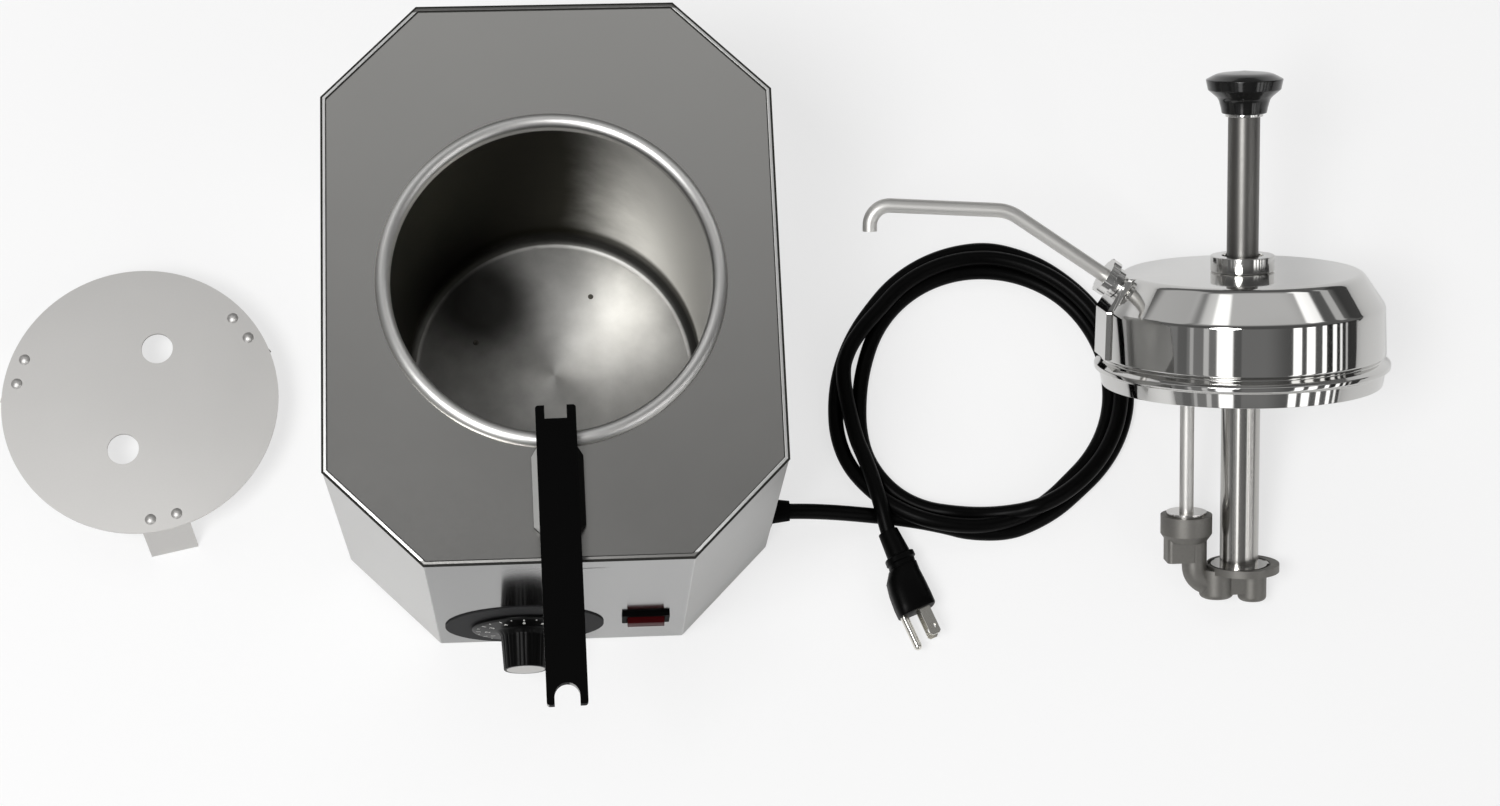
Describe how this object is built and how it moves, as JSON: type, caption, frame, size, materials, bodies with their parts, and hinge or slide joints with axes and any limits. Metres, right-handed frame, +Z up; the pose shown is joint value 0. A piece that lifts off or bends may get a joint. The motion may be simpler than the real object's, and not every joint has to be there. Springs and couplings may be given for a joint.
{
  "type": "hot fudge topping warmer",
  "caption": "Countertop topping warmer with a heated round well, thermostat knob and switch, laid out with its plunger pump, riser plate, pump wrench and mains cord.",
  "frame": {"origin": "on the counter under the middle of the housing", "axes": "+X to the right, +Y to the back away from the dial, +Z up along the well"},
  "size_m": [0.8022, 0.3844, 0.2104],
  "materials": {
    "satin_steel": "fine satin",
    "polished_steel": "polished",
    "well_steel": "drawn, satin",
    "tube_steel": "drawn, bright",
    "fasteners": "plain",
    "plate_aluminium": "matte, handled",
    "cast_metal": "as cast, grainy",
    "black_plastic": "moulded, low gloss",
    "red_plastic": "gloss",
    "white_plastic": "moulded",
    "dial_grey": "printed, satin",
    "case_grey": "zinc",
    "element_sheath": "heat stained",
    "copper": "drawn",
    "brass": "plated",
    "lagging": "glass fibre",
    "wire_cover": "sleeved",
    "cord_rubber": "smooth jacket",
    "seal_rubber": "moulded"
  },
  "bodies": {
    "warmer": {"housing_wrap": "polished_steel", "top_deck": "satin_steel", "well_pot": "well_steel", "base_plate": "satin_steel", "base_screws": "fasteners", "rubber_feet": "seal_rubber", "foot_screws": "fasteners", "insulation_blanket": "lagging", "heater_element": "element_sheath", "heater_clamp": "case_grey", "clamp_nut": "fasteners", "thermostat_body": "case_grey", "thermostat_nut": "fasteners", "thermostat_bulb": "copper", "dial_plate": "dial_grey", "switch_body": "black_plastic", "terminal_block": "white_plastic", "ground_screw": "fasteners", "inner_wires": "wire_cover", "strain_relief": "black_plastic", "cord_lead": "cord_rubber", "cord_coil": "cord_rubber", "cord_tail": "cord_rubber", "plug_body": "cord_rubber", "plug_blades": "brass", "ground_pin": "brass"},
    "knob": {"thermostat_shaft": "fasteners", "thermostat_knob": "black_plastic", "knob_insert": "plate_aluminium"},
    "rocker": {"rocker_button": "red_plastic"},
    "plate": {"riser_plate": "plate_aluminium", "leg_right": "plate_aluminium", "leg_left": "plate_aluminium", "leg_front": "plate_aluminium", "plate_rivets": "plate_aluminium"},
    "wrench": {"pump_wrench": "black_plastic"},
    "pump": {"pump_lid": "polished_steel", "lock_collar": "polished_steel", "cylinder_tube": "tube_steel", "cylinder_foot": "tube_steel", "cylinder_ring": "seal_rubber", "discharge_tube": "tube_steel", "tube_foot": "tube_steel", "tube_ring": "seal_rubber", "spout_nut": "polished_steel", "spout_fitting": "polished_steel", "valve_body": "cast_metal", "pump_spring": "fasteners"},
    "plunger": {"push_knob": "black_plastic", "knob_washer": "polished_steel", "plunger_tube": "tube_steel", "piston": "white_plastic", "piston_seal": "seal_rubber"},
    "inlet_check": {"inlet_ball": "fasteners"},
    "outlet_check": {"outlet_ball": "fasteners"}
  },
  "joints": [
    {"name": "thermostat_turn", "type": "hinge", "parent": "warmer", "child": "knob", "pos_m": [-0.0205, -0.155, 0.05], "axis": [0, -1, 0], "range_deg": [0, 300]},
    {"name": "power_rocker", "type": "hinge", "parent": "warmer", "child": "rocker", "pos_m": [0.047, -0.152, 0.062], "axis": [-1, 0, 0], "range_deg": [0, 14]},
    {"name": "plate_lift", "type": "slide", "parent": "warmer", "child": "plate", "axis": [0, 0, 1], "range_m": [0, 0.15]},
    {"name": "wrench_lift", "type": "slide", "parent": "warmer", "child": "wrench", "axis": [0, 0, 1], "range_m": [0, 0.25]},
    {"name": "pump_lift", "type": "slide", "parent": "warmer", "child": "pump", "axis": [0, 0, 1], "range_m": [0, 0.25]},
    {"name": "plunger_press", "type": "slide", "parent": "pump", "child": "plunger", "axis": [0.0087, -0.8855, -0.4645], "range_m": [0, 0.08], "stiffness_N_per_m": 90, "springref_m": -0.05, "deforming": ["pump_spring"]},
    {"name": "inlet_check_lift", "type": "slide", "parent": "pump", "child": "inlet_check", "axis": [-0.0087, 0.8855, 0.4645], "range_m": [0, 0.003]},
    {"name": "outlet_check_lift", "type": "slide", "parent": "pump", "child": "outlet_check", "axis": [-0.0087, 0.8855, 0.4645], "range_m": [0, 0.003]}
  ]
}
